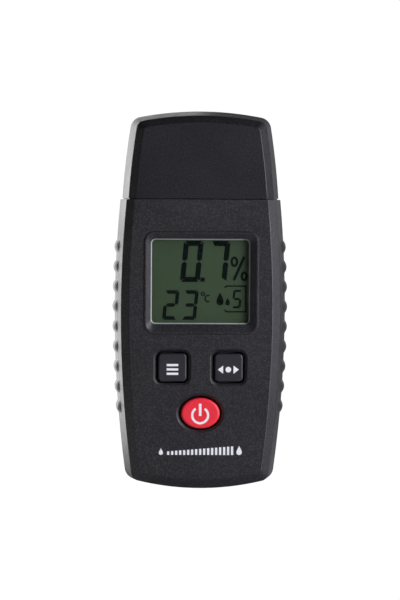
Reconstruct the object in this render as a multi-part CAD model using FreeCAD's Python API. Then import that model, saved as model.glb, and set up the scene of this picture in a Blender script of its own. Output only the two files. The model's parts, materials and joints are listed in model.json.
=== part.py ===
import FreeCAD, Part
import math
import os

# A hand-held pin moisture meter for timber and floors, modelled as an assembly of separate pieces.
#
# Frame, in millimetres: the meter stands on its rounded lower end. +Z runs up its length to the
# protective cap over the two probe pins, the display faces -Y, and the origin is the lowest point,
# midway across the width and the depth. The two case shells meet at the plane y = 0.

# ---- Driving dimensions -------------------------------------------------------------------------

HEIGHT = 140.0                 # whole meter with its cap on
FRONT = -13.3                  # y of the flat front face
BACK = 14.0                    # y of the flat back face
CASE_TOP = 107.3               # shoulder that the cap closes against
CAP_GAP = 0.4                  # visible seam between shoulder and cap

# A plan outline is two side arcs, one end arc and two corner arcs, cut off square at its other end.
CASE = {"half": 31.7, "side_r": 440.0, "side_z": 66.0, "end_r": 98.0, "end_z": 0.0, "up": 1,
        "cut_z": CASE_TOP}
CAP = {"half": 29.6, "side_r": 282.0, "side_z": 90.0, "end_r": 118.0, "end_z": HEIGHT, "up": -1,
       "cut_z": CASE_TOP + CAP_GAP}

# Section through a shell, from the parting plane outwards:
# (y, inset of the sides, inset of the rounded end, corner radius).
CASE_FRONT = [(0.0, 0.0, 0.0, 4.6), (-10.9, 2.2, 0.6, 3.2), (FRONT, 5.2, 4.0, 1.5)]
CASE_BACK = [(0.0, 0.0, 0.0, 4.6), (11.5, 2.2, 0.6, 3.2), (BACK, 5.2, 4.0, 1.5)]
CASE_HOLLOW_FRONT = [(0.0, 2.4, 2.2, 2.6), (-10.0, 4.2, 2.8, 1.8), (FRONT + 2.0, 6.0, 4.4, 1.2)]
CASE_HOLLOW_BACK = [(0.0, 2.4, 2.2, 2.6), (10.6, 4.3, 2.8, 1.8), (BACK - 2.0, 6.0, 4.4, 1.2)]
CAP_FRONT = [(0.0, 0.0, 0.0, 4.6), (-10.6, 2.2, 1.75, 3.2), (FRONT + 0.3, 4.8, 4.3, 1.5)]
CAP_BACK = [(0.0, 0.0, 0.0, 4.6), (11.2, 2.2, 1.75, 3.2), (BACK - 0.4, 4.8, 4.3, 1.5)]
CAP_HOLLOW_FRONT = [(0.0, 1.9, 2.0, 2.6), (-10.0, 3.9, 3.2, 1.8), (FRONT + 1.9, 5.5, 5.2, 1.2)]
CAP_HOLLOW_BACK = [(0.0, 1.9, 2.0, 2.6), (10.6, 3.9, 3.2, 1.8), (BACK - 2.0, 5.5, 5.2, 1.2)]
EDGE_ROUND = 0.45              # rounding along the edges of the bevels

# Neck under the cap: (z, half width, half depth, corner radius) at its foot and its top.
NECK_FOOT = (CASE_TOP - 1.2, 24.4, 10.7, 3.6)
NECK_TOP = (124.0, 20.6, 8.6, 3.4)
NECK_WALL = 1.8
COLLAR_HEIGHT = 1.8            # low step inside the mouth of the cap
SEAM_INSET = (0.45, 1.6)       # how far the shoulder steps in below the cap: sides, front and back
CAP_CLEARANCE = 0.25

# Display
WINDOW = {"x": -0.2, "z": 77.1, "w": 36.7, "h": 31.5, "r": 1.8}
RIM = {"x": 0.1, "z": 76.6, "w": 42.6, "h": 38.2, "r": 4.1}
RIM_RISE = 0.45
RIM_CREST = 0.45               # width of the rim's outer slope and of its crest
WINDOW_EDGE_Y = -12.2
LENS_Y = (-11.0, -10.0)
LCD_Y = (-9.8, -9.6, -7.9, -7.7)   # polariser front, glass front, glass back, reflector back
LCD_SIZE = (41.0, 37.0)
FRAME_SIZE = (45.4, 41.4)

# Circuit board
BOARD_Y = (-5.6, -4.0)
BOARD_HALF_W = 23.0
BOARD_Z = (16.0, 104.0)
BOARD_SCREWS = [(-20.8, 52.5), (20.8, 52.5), (-12.0, 101.0), (12.0, 101.0)]
BOARD_BOSS_R = 2.3
BOARD_SCREW_R = 0.85

# Keys: name, centre, size, corner radius (None for an oval key)
KEYS = {
    "mode": {"x": -10.4, "z": 45.4, "w": 10.4, "h": 10.3, "r": 1.5},
    "set": {"x": 10.4, "z": 45.4, "w": 10.4, "h": 10.3, "r": 1.5},
    "power": {"x": 0.0, "z": 28.5, "w": 14.3, "h": 11.3, "r": None},
}
KEY_TOP_Y = -14.0
KEY_FOOT_Y = -7.6
KEY_TRAVEL = 1.0
KEY_GAP = 0.75                 # between a key and its opening
KEY_DISH = 1.0                 # width of the bevel round an opening
KEY_DISH_DEPTH = 0.7
MAT_Y = (-6.6, -5.6)
MAT_BOX = (-18.3, 18.3, 20.2, 53.0)
WEB_START = 1.05               # clear width of the mat's hole beyond the key
WEB_THICK = 0.4
WEB_TOP_Y = -8.1
PILL_R = 2.4

# Case screws, driven in from the back
CASE_SCREWS = [(-20.0, 101.0), (20.0, 101.0), (-17.5, 10.2), (17.5, 10.2)]
CASE_SCREW_R = 1.3
SCREW_SEAT_Y = 7.0
SCREW_END_Y = -6.5

# Side grips
GRIP_Z = (25.6, 94.0)
GRIP_HALF_Y = 5.0
GRIP_DEPTH = 1.3
GRIP_MARGIN = 0.05
RIB_COUNT = 9
RIB_FIRST_Z = 30.4
RIB_PITCH = 7.43
RIB_RISE = 0.85
RIB_HALF_Z = 2.7               # from a rib's crest to its foot, seen from the front
RIB_CREST_SHARE = 0.75         # share of the two radii of a rib's curve that its crest has
# (distance from the parting plane, share of the full rise) across the grip
RIB_CROWN = [(0.0, 1.0), (3.3, 1.0), (4.3, 0.55), (GRIP_HALF_Y - GRIP_MARGIN, 0.02)]

# Battery bay for three AAA cells
CELL_R = 5.2
CELL_LENGTH = 44.5
CELL_NUB = (1.9, 1.0)
CELL_PITCH = 11.2
CELL_Y = 6.35
BAY_HALF_W = 16.95
BAY_Z = (19.0, 70.0)
BAY_Y = 0.6                    # inner face of the bay's floor
BAY_WALL = 1.5
PLATE = 0.4                    # contact plate thickness

# Battery door
DOOR_HALF_W = 19.0
DOOR_TOP_Z = 72.4
DOOR_THICK = 1.8
DOOR_GAP = 0.15
DOOR_AXIS = (BACK - DOOR_THICK / 2, 16.0)      # y, z of the hinge line
TRUNNION_R = 0.5
TRUNNION_LENGTH = 0.9
TRUNNION_CLEARANCE = 0.05

# Probe
PIN_X = 5.0
PIN_R = 0.9
PIN_SHOULDER_Z = 125.2
PIN_WALL = (127.2, 132.8)
PIN_TIP_Z = 136.2
SOCKET_R = 2.0
PIN_THREAD_R = 1.25
BLOCK_Z = (113.5, 124.6)


# ---- Small helpers ------------------------------------------------------------------------------

def vec(x, y, z):
    return FreeCAD.Vector(x, y, z)


def box(x0, x1, y0, y1, z0, z1):
    return Part.makeBox(x1 - x0, y1 - y0, z1 - z0, vec(x0, y0, z0))


def rod(radius, start, end):
    """A cylinder from one point to another."""
    axis = vec(*end) - vec(*start)
    return Part.makeCylinder(radius, axis.Length, vec(*start), axis)


def cone(radius_start, radius_end, start, end):
    axis = vec(*end) - vec(*start)
    return Part.makeCone(radius_start, radius_end, axis.Length, vec(*start), axis)


def fuse(first, *others):
    result = first.fuse(list(others)) if others else first
    return result.removeSplitter()


def cut(first, *others):
    return first.cut(list(others))


def arc(a, mid, b):
    return Part.Arc(vec(*a), vec(*mid), vec(*b)).toShape()


def line(a, b):
    return Part.LineSegment(vec(*a), vec(*b)).toShape()


def rounded_rect(x, z, w, h, r, y):
    """A rounded rectangle in the plane at depth y, centred on (x, z)."""
    edges = []
    corners = [(1, 1), (-1, 1), (-1, -1), (1, -1)]
    centres = [(x + sx * (w / 2 - r), z + sz * (h / 2 - r)) for sx, sz in corners]
    for i, (cx, cz) in enumerate(centres):
        start, middle, end = (math.radians(90 * i + turn) for turn in (0, 45, 90))
        points = [(cx + r * math.cos(a), y, cz + r * math.sin(a)) for a in (start, middle, end)]
        edges.append(arc(*points))
        nx, nz = centres[(i + 1) % 4]
        edges.append(line(points[2], (nx + r * math.cos(end), y, nz + r * math.sin(end))))
    return Part.Wire(edges)


def oval(x, z, w, h, y):
    """An ellipse in the plane at depth y, wider than it is high."""
    centre = vec(x, y, z)
    ellipse = Part.Ellipse(centre + vec(w / 2, 0, 0), centre + vec(0, 0, h / 2), centre)
    return Part.Wire([ellipse.toShape()])


def prism(wire, depth):
    """The area in a wire, carried along Y by depth."""
    return Part.Face(wire).extrude(vec(0, depth, 0))


def taper(*wires):
    return Part.makeLoft(list(wires), True, True)


def rounded(shape, radius, wanted):
    """The shape with a rounding on the edges for which wanted(edge) is true."""
    return shape.makeFillet(radius, [e for e in shape.Edges if wanted(e)])


def edge_at_y(*depths):
    """Picks the edges that lie wholly in one of these planes."""
    def wanted(edge):
        low, high = edge.BoundBox.YMin, edge.BoundBox.YMax
        return any(abs(low - y) < 1e-4 and abs(high - y) < 1e-4 for y in depths)
    return wanted


def mirrored_x(shape):
    return shape.mirror(vec(0, 0, 0), vec(1, 0, 0))


# ---- Plan outlines and hulls --------------------------------------------------------------------

def unit(x, z):
    length = math.hypot(x, z)
    return x / length, z / length


def corner_centre(side_c, side_r, end_c, end_r, corner, up):
    """Centre of the corner arc that touches both the side arc and the end arc from inside."""
    a, b = side_r - corner, end_r - corner
    dx, dz = end_c[0] - side_c[0], end_c[1] - side_c[1]
    gap = math.hypot(dx, dz)
    along = (a * a - b * b + gap * gap) / (2 * gap)
    across = math.sqrt(a * a - along * along)
    ux, uz = dx / gap, dz / gap
    found = [(side_c[0] + along * ux + s * across * uz, side_c[1] + along * uz - s * across * ux)
             for s in (1, -1)]
    return min(found, key=lambda p: p[1] * up)


def outline(plan, y, side_inset, end_inset, corner, cut_z=None):
    """The closed plan outline of the case or the cap at depth y, moved inwards by the insets."""
    cut_z = plan["cut_z"] if cut_z is None else cut_z
    side_c, side_r = (plan["half"] - plan["side_r"], plan["side_z"]), plan["side_r"] - side_inset
    end_c, end_r = (0.0, plan["end_z"] + plan["up"] * plan["end_r"]), plan["end_r"] - end_inset
    cx, cz = corner_centre(side_c, side_r, end_c, end_r, corner, plan["up"])
    sx, sz = unit(cx - side_c[0], cz - side_c[1])
    ex, ez = unit(cx - end_c[0], cz - end_c[1])
    mx, mz = unit(sx + ex, sz + ez)
    side_end = (side_c[0] + side_r * sx, side_c[1] + side_r * sz)
    end_start = (end_c[0] + end_r * ex, end_c[1] + end_r * ez)
    corner_mid = (cx + corner * mx, cz + corner * mz)
    angle_cut = math.asin((cut_z - side_c[1]) / side_r)
    angle_end = math.asin((side_end[1] - side_c[1]) / side_r)
    at_cut, at_mid = ((side_c[0] + side_r * math.cos(t), side_c[1] + side_r * math.sin(t))
                      for t in (angle_cut, (angle_cut + angle_end) / 2))
    apex = (0.0, end_c[1] - plan["up"] * end_r)

    def right(p):
        return (p[0], y, p[1])

    def left(p):
        return (-p[0], y, p[1])

    return Part.Wire([
        line(left(at_cut), right(at_cut)),
        arc(right(at_cut), right(at_mid), right(side_end)),
        arc(right(side_end), right(corner_mid), right(end_start)),
        arc(right(end_start), right(apex), left(end_start)),
        arc(left(end_start), left(corner_mid), left(side_end)),
        arc(left(side_end), left(at_mid), left(at_cut)),
    ])


def side_x(plan, z, inset=0.0):
    """Half width of the plan at height z."""
    radius = plan["side_r"] - inset
    return plan["half"] - plan["side_r"] + math.sqrt(radius ** 2 - (z - plan["side_z"]) ** 2)


def half_hull(plan, section, cut_z=None):
    """The solid from the parting plane to the front or the back, whichever the section describes."""
    return taper(*[outline(plan, *level, cut_z) for level in section])


def softened_half(plan, section):
    """half_hull with the edges of its bevel rounded."""
    on_bevel = edge_at_y(*[level[0] for level in section[1:]])

    def wanted(edge):
        middle = edge.valueAt((edge.FirstParameter + edge.LastParameter) / 2)
        return on_bevel(edge) and abs(middle.z - plan["cut_z"]) > 1e-3

    return rounded(half_hull(plan, section), EDGE_ROUND, wanted)


def neck_section(z, half_w, half_d, r):
    """Rounded rectangle across the neck, in the plane at height z."""
    flat = rounded_rect(0, 0, 2 * half_w, 2 * half_d, r, 0)
    flat.rotate(vec(0, 0, 0), vec(1, 0, 0), -90)
    flat.translate(vec(0, 0, z))
    return flat


def neck_at(z, shrink=0.0):
    """(z, half width, half depth, corner radius) of the neck at a height."""
    share = (z - NECK_FOOT[0]) / (NECK_TOP[0] - NECK_FOOT[0])
    half_w, half_d, r = (a + share * (b - a) for a, b in zip(NECK_FOOT[1:], NECK_TOP[1:]))
    return z, half_w - shrink, half_d - shrink, r - shrink


def neck(z0, z1, shrink=0.0):
    return taper(neck_section(*neck_at(z0, shrink)), neck_section(*neck_at(z1, shrink)))


def key_wire(key, grow, y):
    """Outline of a key, larger by grow on every side."""
    w, h = key["w"] + 2 * grow, key["h"] + 2 * grow
    if key["r"] is None:
        return oval(key["x"], key["z"], w, h, y)
    return rounded_rect(key["x"], key["z"], w, h, key["r"] + grow, y)


def centred(frame, size, r, y):
    return rounded_rect(frame["x"], frame["z"], size[0], size[1], r, y)


# ---- Case ---------------------------------------------------------------------------------------

def grip_core():
    """Everything further in than the floor of the grips' slots."""
    return prism(outline(CASE, FRONT, GRIP_DEPTH, GRIP_DEPTH, 3.0), BACK - FRONT)


def grip_slot():
    """Room for the right grip in the side wall."""
    return cut(box(20, 40, -GRIP_HALF_Y, GRIP_HALF_Y, *GRIP_Z), grip_core())


def display_opening():
    """The sloping sides of the display recess, and the hole that the lens lies behind."""
    crest_y = FRONT - RIM_RISE
    crest_w, crest_h = RIM["w"] - 4 * RIM_CREST, RIM["h"] - 4 * RIM_CREST
    above = 0.5
    crest = rounded_rect(RIM["x"], RIM["z"], crest_w, crest_h, RIM["r"] - 2 * RIM_CREST, crest_y)
    sill = rounded_rect(WINDOW["x"], WINDOW["z"], WINDOW["w"], WINDOW["h"], WINDOW["r"], WINDOW_EDGE_Y)
    lid = rounded_rect(RIM["x"], RIM["z"], crest_w, crest_h, RIM["r"] - 2 * RIM_CREST, crest_y - above)
    return fuse(taper(crest, sill), prism(lid, above), prism(sill, 2.0))


def display_rim():
    foot = rounded_rect(RIM["x"], RIM["z"], RIM["w"], RIM["h"], RIM["r"], FRONT)
    low = rounded_rect(RIM["x"], RIM["z"], RIM["w"], RIM["h"], RIM["r"], FRONT + 1.0)
    top = rounded_rect(RIM["x"], RIM["z"], RIM["w"] - 2 * RIM_CREST, RIM["h"] - 2 * RIM_CREST,
                       RIM["r"] - RIM_CREST, FRONT - RIM_RISE)
    return taper(low, foot, top)


def key_opening(key):
    """Straight hole for a key with a bevelled dish round it."""
    surface = key_wire(key, KEY_GAP + KEY_DISH, FRONT)
    above = key_wire(key, KEY_GAP + KEY_DISH, FRONT - 1.0)
    sill = key_wire(key, KEY_GAP, FRONT + KEY_DISH_DEPTH)
    through = key_wire(key, KEY_GAP, FRONT + 2.5)
    return fuse(prism(above, 1.0), taper(surface, sill, through))


def within(section, side_gap, depth_gap):
    """A section moved inwards: its sides by one gap, its front or back by another."""
    return [(y - math.copysign(depth_gap, y) if y else y, side + side_gap, end + side_gap, r)
            for y, side, end, r in section]


def neck_half(sign):
    """Half of the neck, with the catch for the cap and the steps that its mouth fits round."""
    foot = CASE_TOP - 1.0
    mouth = CAP_HOLLOW_BACK if sign > 0 else CAP_HOLLOW_FRONT
    collar = half_hull(CAP, within(mouth, CAP_CLEARANCE, CAP_CLEARANCE), foot)
    collar = collar.common(box(-40, 40, -20, 20, foot, CASE_TOP + COLLAR_HEIGHT))
    outline_section = CAP_BACK if sign > 0 else CAP_FRONT
    step = half_hull(CAP, within(outline_section, *SEAM_INSET), foot)
    step = step.common(box(-40, 40, -20, 20, foot, CASE_TOP + CAP_GAP - 0.05))
    outer = fuse(neck(NECK_FOOT[0], NECK_TOP[0]), collar, step)
    snap = rounded(box(-8, 8, 9.0, 10.9, 111.2, 112.8), 0.6, lambda e: e.BoundBox.YMin > 10.8)
    snap = snap if sign > 0 else snap.mirror(vec(0, 0, 0), vec(0, 1, 0))
    side = box(-40, 40, 0, 20, 100, 130) if sign > 0 else box(-40, 40, -20, 0, 100, 130)
    return fuse(outer, snap).common(side)


def front_shell():
    hull = softened_half(CASE, CASE_FRONT)
    hollow = half_hull(CASE, CASE_HOLLOW_FRONT, CASE_TOP - 2.0)
    wall = cut(hull, hollow)
    bosses = [rod(BOARD_BOSS_R, (x, FRONT + 1.5, z), (x, BOARD_Y[0], z)) for x, z in BOARD_SCREWS]
    bosses += [rod(3.0, (x, FRONT + 1.5, z), (x, 0, z)) for x, z in CASE_SCREWS]
    solid = fuse(wall, neck_half(-1), display_rim(), *bosses)
    holes = [rod(BOARD_SCREW_R, (x, BOARD_Y[0] - 5.0, z), (x, 0, z)) for x, z in BOARD_SCREWS]
    holes += [rod(CASE_SCREW_R, (x, SCREW_END_Y - 0.5, z), (x, 1, z)) for x, z in CASE_SCREWS]
    holes += [key_opening(key) for key in KEYS.values()]
    holes += [display_opening(), neck(NECK_FOOT[0] - 2.0, NECK_TOP[0] + 1.0, NECK_WALL)]
    slot = grip_slot()
    return cut(solid, *holes, slot, mirrored_x(slot))


def battery_bay():
    """The tub that holds the cells, with a ledge for the door round its mouth."""
    tub = box(-BAY_HALF_W - BAY_WALL, BAY_HALF_W + BAY_WALL, BAY_Y - BAY_WALL, BACK - 1.0,
              BAY_Z[0] - BAY_WALL, BAY_Z[1] + BAY_WALL)
    ledge = box(-DOOR_HALF_W - 2.4, DOOR_HALF_W + 2.4, BACK - 3.6, BACK - 1.0,
                DOOR_AXIS[1] - 2.4, DOOR_TOP_Z + 2.4)
    return fuse(tub, ledge)


def bay_room():
    room = box(-BAY_HALF_W, BAY_HALF_W, BAY_Y, BACK, *BAY_Z)
    leg_slots = ((-CELL_PITCH, BAY_Z[1] - 0.6, BAY_Z[1]), (CELL_PITCH, BAY_Z[0], BAY_Z[0] + 0.6))
    slots = [box(x - 1.3, x + 1.3, BAY_Y - BAY_WALL - 1, BAY_Y + 1, z0, z1) for x, z0, z1 in leg_slots]
    return fuse(room, *slots)


def bay_cradles():
    """Low ribs on the bay floor that keep the cells apart."""
    return [box(x - 0.3, x + 0.3, BAY_Y - 0.5, BAY_Y + 2.2, z, z + 8)
            for x in (-CELL_PITCH / 2, CELL_PITCH / 2) for z in (28.0, 53.0)]


def door_recess():
    """The rebate that the door lies in, with its finger notch and the blind holes for its trunnions."""
    y, z = DOOR_AXIS
    y0 = BACK - DOOR_THICK - DOOR_GAP
    half_w = DOOR_HALF_W + DOOR_GAP
    rebate = box(-half_w, half_w, y0, BACK + 1, z - DOOR_THICK / 2 - DOOR_GAP, DOOR_TOP_Z + DOOR_GAP)
    reach = DOOR_HALF_W + TRUNNION_LENGTH + 0.1
    sockets = rod(TRUNNION_R + TRUNNION_CLEARANCE, (-reach, y, z), (reach, y, z))
    notch = cone(4.0, 5.5, (0, BACK - 1.5, DOOR_TOP_Z), (0, BACK + 0.1, DOOR_TOP_Z))
    return fuse(rebate, sockets, notch)


def rear_shell():
    hull = softened_half(CASE, CASE_BACK)
    hollow = half_hull(CASE, CASE_HOLLOW_BACK, CASE_TOP - 2.0)
    wall = cut(hull, hollow)
    bosses = [rod(3.7, (x, 0, z), (x, BACK - 1.5, z)) for x, z in CASE_SCREWS]
    solid = fuse(wall, neck_half(1), battery_bay(), *bosses)
    holes = [rod(CASE_SCREW_R + 0.2, (x, -1, z), (x, BACK, z)) for x, z in CASE_SCREWS]
    holes += [rod(2.8, (x, SCREW_SEAT_Y, z), (x, BACK + 1, z)) for x, z in CASE_SCREWS]
    holes += [neck(NECK_FOOT[0] - 2.0, NECK_TOP[0] + 1.0, NECK_WALL), door_recess(), bay_room()]
    slot = grip_slot()
    return fuse(cut(solid, *holes, slot, mirrored_x(slot)), *bay_cradles())


def rib_points(rise):
    """(distance along the wall, height) of a rib from foot to foot: the ends and middles of its arcs."""
    turn = 2 * math.atan(rise / RIB_HALF_Z)
    radii = RIB_HALF_Z / math.sin(turn)
    crest_r = RIB_CREST_SHARE * radii
    foot_r = radii - crest_r
    bend = (RIB_HALF_Z - foot_r * math.sin(turn / 2), foot_r * (1 - math.cos(turn / 2)))
    meet = (crest_r * math.sin(turn), rise - crest_r * (1 - math.cos(turn)))
    lower = [(-RIB_HALF_Z, 0.0), (-bend[0], bend[1]), (-meet[0], meet[1])]
    return lower + [(0.0, rise)] + [(-along, height) for along, height in reversed(lower)]


def grip_section(y, share):
    """Outline of the grip at depth y: the ribbed side, closed off well inside the case."""
    z0, z1 = GRIP_Z[0] + GRIP_MARGIN, GRIP_Z[1] - GRIP_MARGIN
    level = CASE_BACK[1] if y > 0 else CASE_FRONT[1]
    inset = level[1] * y / level[0]

    def on_wall(z, height=0.0):
        return side_x(CASE, z, inset) + height, y, z

    points = [on_wall(z0)]
    for i in range(RIB_COUNT):
        centre = RIB_FIRST_Z + i * RIB_PITCH
        rib = [on_wall(centre + along, height) for along, height in rib_points(share * RIB_RISE)]
        points += [on_wall((points[-1][2] + rib[0][2]) / 2)] + rib
    points += [on_wall((points[-1][2] + z1) / 2), on_wall(z1)]
    ribbed = [arc(*points[i:i + 3]) for i in range(0, len(points) - 2, 2)]
    inside = 24.0
    corners = [points[-1], (inside, y, z1), (inside, y, z0), points[0]]
    return Part.Wire(ribbed + [line(a, b) for a, b in zip(corners, corners[1:])])


def right_grip():
    """Soft strip let into the side wall, with a row of rounded ribs across it."""
    levels = [(-y, share) for y, share in reversed(RIB_CROWN)] + RIB_CROWN[1:]
    return cut(taper(*[grip_section(*level) for level in levels]), grip_core())


# ---- Display ------------------------------------------------------------------------------------

def lens_gasket():
    """Light foam ring between case and lens. Its inner edge shows as a fine line round the display."""
    y = FRONT + 2.0
    lip = 0.42
    ring = prism(centred(WINDOW, (41.0, 36.0), 1.6, y), LENS_Y[0] - y)
    inner_back = centred(WINDOW, (WINDOW["w"] - 2 * lip, WINDOW["h"] - 2 * lip), 1.4, LENS_Y[0])
    inner_front = centred(WINDOW, (WINDOW["w"] - lip, WINDOW["h"] - lip), 1.6, y)
    return cut(ring, taper(inner_front, inner_back))


def display_lens():
    return prism(centred(WINDOW, (41.0, 36.0), 1.6, LENS_Y[0]), LENS_Y[1] - LENS_Y[0])


def lcd_layer(size, r, y0, y1):
    return prism(centred(WINDOW, size, r, y0), y1 - y0)


def lcd_glass():
    """Two bonded glass plates. The back one is taller and carries the contact edges."""
    middle = (LCD_Y[1] + LCD_Y[2]) / 2
    front = lcd_layer((LCD_SIZE[0], 32.6), 0.3, LCD_Y[1], middle)
    back = lcd_layer(LCD_SIZE, 0.3, middle, LCD_Y[2])
    return fuse(front, back)


def display_frame():
    """Holder clipped to the board: it keeps the glass and its connectors in line."""
    body = lcd_layer(FRAME_SIZE, 1.5, LCD_Y[0] - 0.1, BOARD_Y[0])
    pocket = lcd_layer((LCD_SIZE[0] + 0.2, LCD_SIZE[1] + 0.2), 0.4, LCD_Y[0] - 0.2, LCD_Y[3])
    middle = lcd_layer((36.0, 29.0), 1.0, LCD_Y[3] - 0.1, BOARD_Y[0] + 0.1)
    slots = [box(-19.2, 19.2, LCD_Y[2] - 0.1, BOARD_Y[0] + 0.1, z - 1.15, z + 1.15)
             for z in (WINDOW["z"] - 17.1, WINDOW["z"] + 17.1)]
    pegs = [rod(0.9, (x, BOARD_Y[0], z), (x, BOARD_Y[1] + 0.6, z)) for x, z in frame_pegs()]
    return fuse(cut(body, pocket, middle, *slots), *pegs)


def frame_pegs():
    half_w, half_h = FRAME_SIZE[0] / 2 - 1.2, FRAME_SIZE[1] / 2 - 1.2
    return [(sx * half_w, WINDOW["z"] + sz * half_h) for sx in (-1, 1) for sz in (-1, 1)]


def elastomer_strips():
    """Striped rubber connectors between the glass and the board."""
    strips = [box(-19.0, 19.0, LCD_Y[2], BOARD_Y[0], z - 1.05, z + 1.05)
              for z in (WINDOW["z"] - 17.1, WINDOW["z"] + 17.1)]
    return Part.makeCompound(strips)


# ---- Keypad -------------------------------------------------------------------------------------

def keypad_mat():
    x0, x1, z0, z1 = MAT_BOX
    sheet = rounded_rect((x0 + x1) / 2, (z0 + z1) / 2, x1 - x0, z1 - z0, 3.0, MAT_Y[0])
    holes = [prism(key_wire(key, WEB_START, MAT_Y[0] - 0.1), 1.3) for key in KEYS.values()]
    return cut(prism(sheet, MAT_Y[1] - MAT_Y[0]), *holes)


def key_web(key):
    """The thin collapsing skirt between the mat and a key."""
    slack = 0.01
    outer = taper(key_wire(key, WEB_START + WEB_THICK, MAT_Y[0]), key_wire(key, WEB_THICK / 2, WEB_TOP_Y))
    inner = taper(key_wire(key, WEB_START, MAT_Y[0]), key_wire(key, slack, WEB_TOP_Y))
    return cut(outer, inner)


def key_cap(key, edge):
    body = prism(key_wire(key, 0, KEY_TOP_Y), KEY_FOOT_Y - KEY_TOP_Y)
    return rounded(body, edge, edge_at_y(KEY_TOP_Y))


def contact_pill(key):
    rest_y = BOARD_Y[0] - KEY_TRAVEL - 0.05
    return rod(PILL_R, (key["x"], KEY_FOOT_Y, key["z"]), (key["x"], rest_y, key["z"]))


# ---- Circuit board ------------------------------------------------------------------------------

def main_board():
    z0, z1 = BOARD_Z
    sheet = rounded_rect(0, (z0 + z1) / 2, 2 * BOARD_HALF_W, z1 - z0, 1.5, BOARD_Y[0])
    holes = [rod(BOARD_SCREW_R + 0.35, (x, -9, z), (x, 0, z)) for x, z in BOARD_SCREWS]
    holes += [rod(3.4, (x, -9, z), (x, 0, z)) for x, z in CASE_SCREWS]
    holes += [rod(0.95, (x, -9, z), (x, 0, z)) for x, z in frame_pegs()]
    corner = box(20.6, 30, -9, 0, 97.6, 110)
    return cut(prism(sheet, BOARD_Y[1] - BOARD_Y[0]), *holes, corner, mirrored_x(corner))


def controller_chip():
    y = BOARD_Y[1]
    package = box(-6, 6, y + 0.1, y + 1.6, 78, 90)
    package = rounded(package, 0.25, lambda e: abs(e.Length - 1.5) < 1e-6)
    legs = []
    for i in range(11):
        at = -5 + i * 1.0
        legs += [box(at - 0.2, at + 0.2, y, y + 0.5, z0, z1) for z0, z1 in ((77, 78), (90, 91))]
        legs += [box(x0, x1, y, y + 0.5, 84 + at - 0.2, 84 + at + 0.2) for x0, x1 in ((-7, -6), (6, 7))]
    return fuse(package, *legs)


def crystal():
    """Oscillator in a rounded metal can, beside the chip."""
    return rounded(box(-14.4, -10.6, BOARD_Y[1], BOARD_Y[1] + 2.4, 79, 89), 0.8, lambda e: True)


def board_parts():
    """Small chip resistors and capacitors on the back of the board, away from the battery bay."""
    y = BOARD_Y[1]
    chips = []
    for row, z in enumerate((75.5, 92.5, 95.5)):
        for i in range(4 + row):
            x = -16 + i * 5.2 + row
            chips.append(box(x, x + 2.0, y, y + 0.7, z, z + 1.2))
    capacitor = rod(2.0, (15.5, y, 94.0), (15.5, y + 4.5, 94.0))
    return Part.makeCompound(chips + [capacitor])


def temperature_sensor():
    """Glass bead thermistor standing on two legs near the top of the board."""
    y = BOARD_Y[1] + 2.2
    bead = rod(0.9, (-2.0, y, 94.4), (2.0, y, 94.4))
    legs = [box(x0, x1, BOARD_Y[1], y + 0.2, 94.2, 94.6) for x0, x1 in ((-3.2, -2.8), (2.8, 3.2))]
    arms = [box(-3.2, -2.0, y - 0.2, y + 0.2, 94.2, 94.6), box(2.0, 3.2, y - 0.2, y + 0.2, 94.2, 94.6)]
    return fuse(rounded(bead, 0.5, lambda e: e.Length > 3 and e.BoundBox.XLength < 0.1), *legs, *arms)


def screw(x, z, seat_y, end_y, shank_r, head_r, head_h):
    """Cross-head screw driven towards -Y, with a tapered point."""
    head = rod(head_r, (x, seat_y, z), (x, seat_y + head_h, z))
    head = rounded(head, head_h * 0.35, edge_at_y(seat_y + head_h))
    point = 1.5 * shank_r
    shank = rod(shank_r, (x, end_y + point, z), (x, seat_y, z))
    tip = cone(shank_r, shank_r * 0.3, (x, end_y + point, z), (x, end_y, z))
    slot, half = head_r * 0.22, head_r * 0.62
    depth = seat_y + head_h * 0.35
    cross = [box(x - half, x + half, depth, seat_y + head_h + 1, z - slot / 2, z + slot / 2),
             box(x - slot / 2, x + slot / 2, depth, seat_y + head_h + 1, z - half, z + half)]
    return cut(fuse(head, shank, tip), *cross)


def case_screws():
    return Part.makeCompound([screw(x, z, SCREW_SEAT_Y, SCREW_END_Y, CASE_SCREW_R - 0.02, 2.6, 1.9)
                              for x, z in CASE_SCREWS])


def board_screws():
    return Part.makeCompound([screw(x, z, BOARD_Y[1], BOARD_Y[0] - 4.5, BOARD_SCREW_R - 0.02, 1.8, 1.1)
                              for x, z in BOARD_SCREWS])


# ---- Battery ------------------------------------------------------------------------------------

def cell_up(i):
    """Whether cell i has its positive end upwards."""
    return i != 1


def cell_x(i):
    return (i - 1) * CELL_PITCH


def cell_span(i):
    """Lowest and highest z of cell i, pressed against its positive plate."""
    if cell_up(i):
        top = BAY_Z[1] - PLATE
        return top - CELL_LENGTH, top
    bottom = BAY_Z[0] + PLATE
    return bottom, bottom + CELL_LENGTH


def battery_cell(i):
    low, high = cell_span(i)
    nub_r, nub_h = CELL_NUB
    x = cell_x(i)
    can0, can1 = (low, high - nub_h) if cell_up(i) else (low + nub_h, high)
    can = rounded(rod(CELL_R, (x, CELL_Y, can0), (x, CELL_Y, can1)), 0.5,
                  lambda e: e.Length > 20 and e.BoundBox.ZLength < 0.01)
    nub0, nub1 = (high - nub_h - 0.5, high) if cell_up(i) else (low, low + nub_h + 0.5)
    return fuse(can, rod(nub_r, (x, CELL_Y, nub0), (x, CELL_Y, nub1)))


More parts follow.
